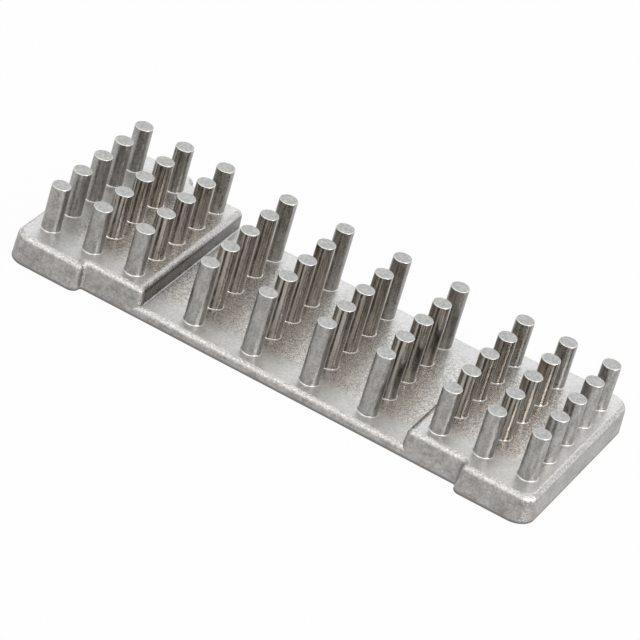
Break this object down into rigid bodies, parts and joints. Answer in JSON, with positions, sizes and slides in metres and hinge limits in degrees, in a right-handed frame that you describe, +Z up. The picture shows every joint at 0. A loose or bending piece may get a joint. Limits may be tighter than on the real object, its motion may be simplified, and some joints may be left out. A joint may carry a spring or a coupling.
{
  "type": "pin fin heat sink",
  "caption": "Flat cast aluminium heat sink: a thin plate with a thick block at each end, covered in upright round pins that shed heat to the air flowing between them.",
  "frame": {"origin": "centre of the underside: the middle of the length and depth, on the flat face that seats on what is cooled", "axes": "+X along the length, from one end block to the other; +Y from front to back; +Z up along the pins"},
  "size_m": [0.0606, 0.0248, 0.0084],
  "materials": {
    "cast_aluminium": "as cast and fine blasted, satin, unpainted"
  },
  "bodies": {
    "root": {"heat_sink": "cast_aluminium"}
  },
  "joints": []
}
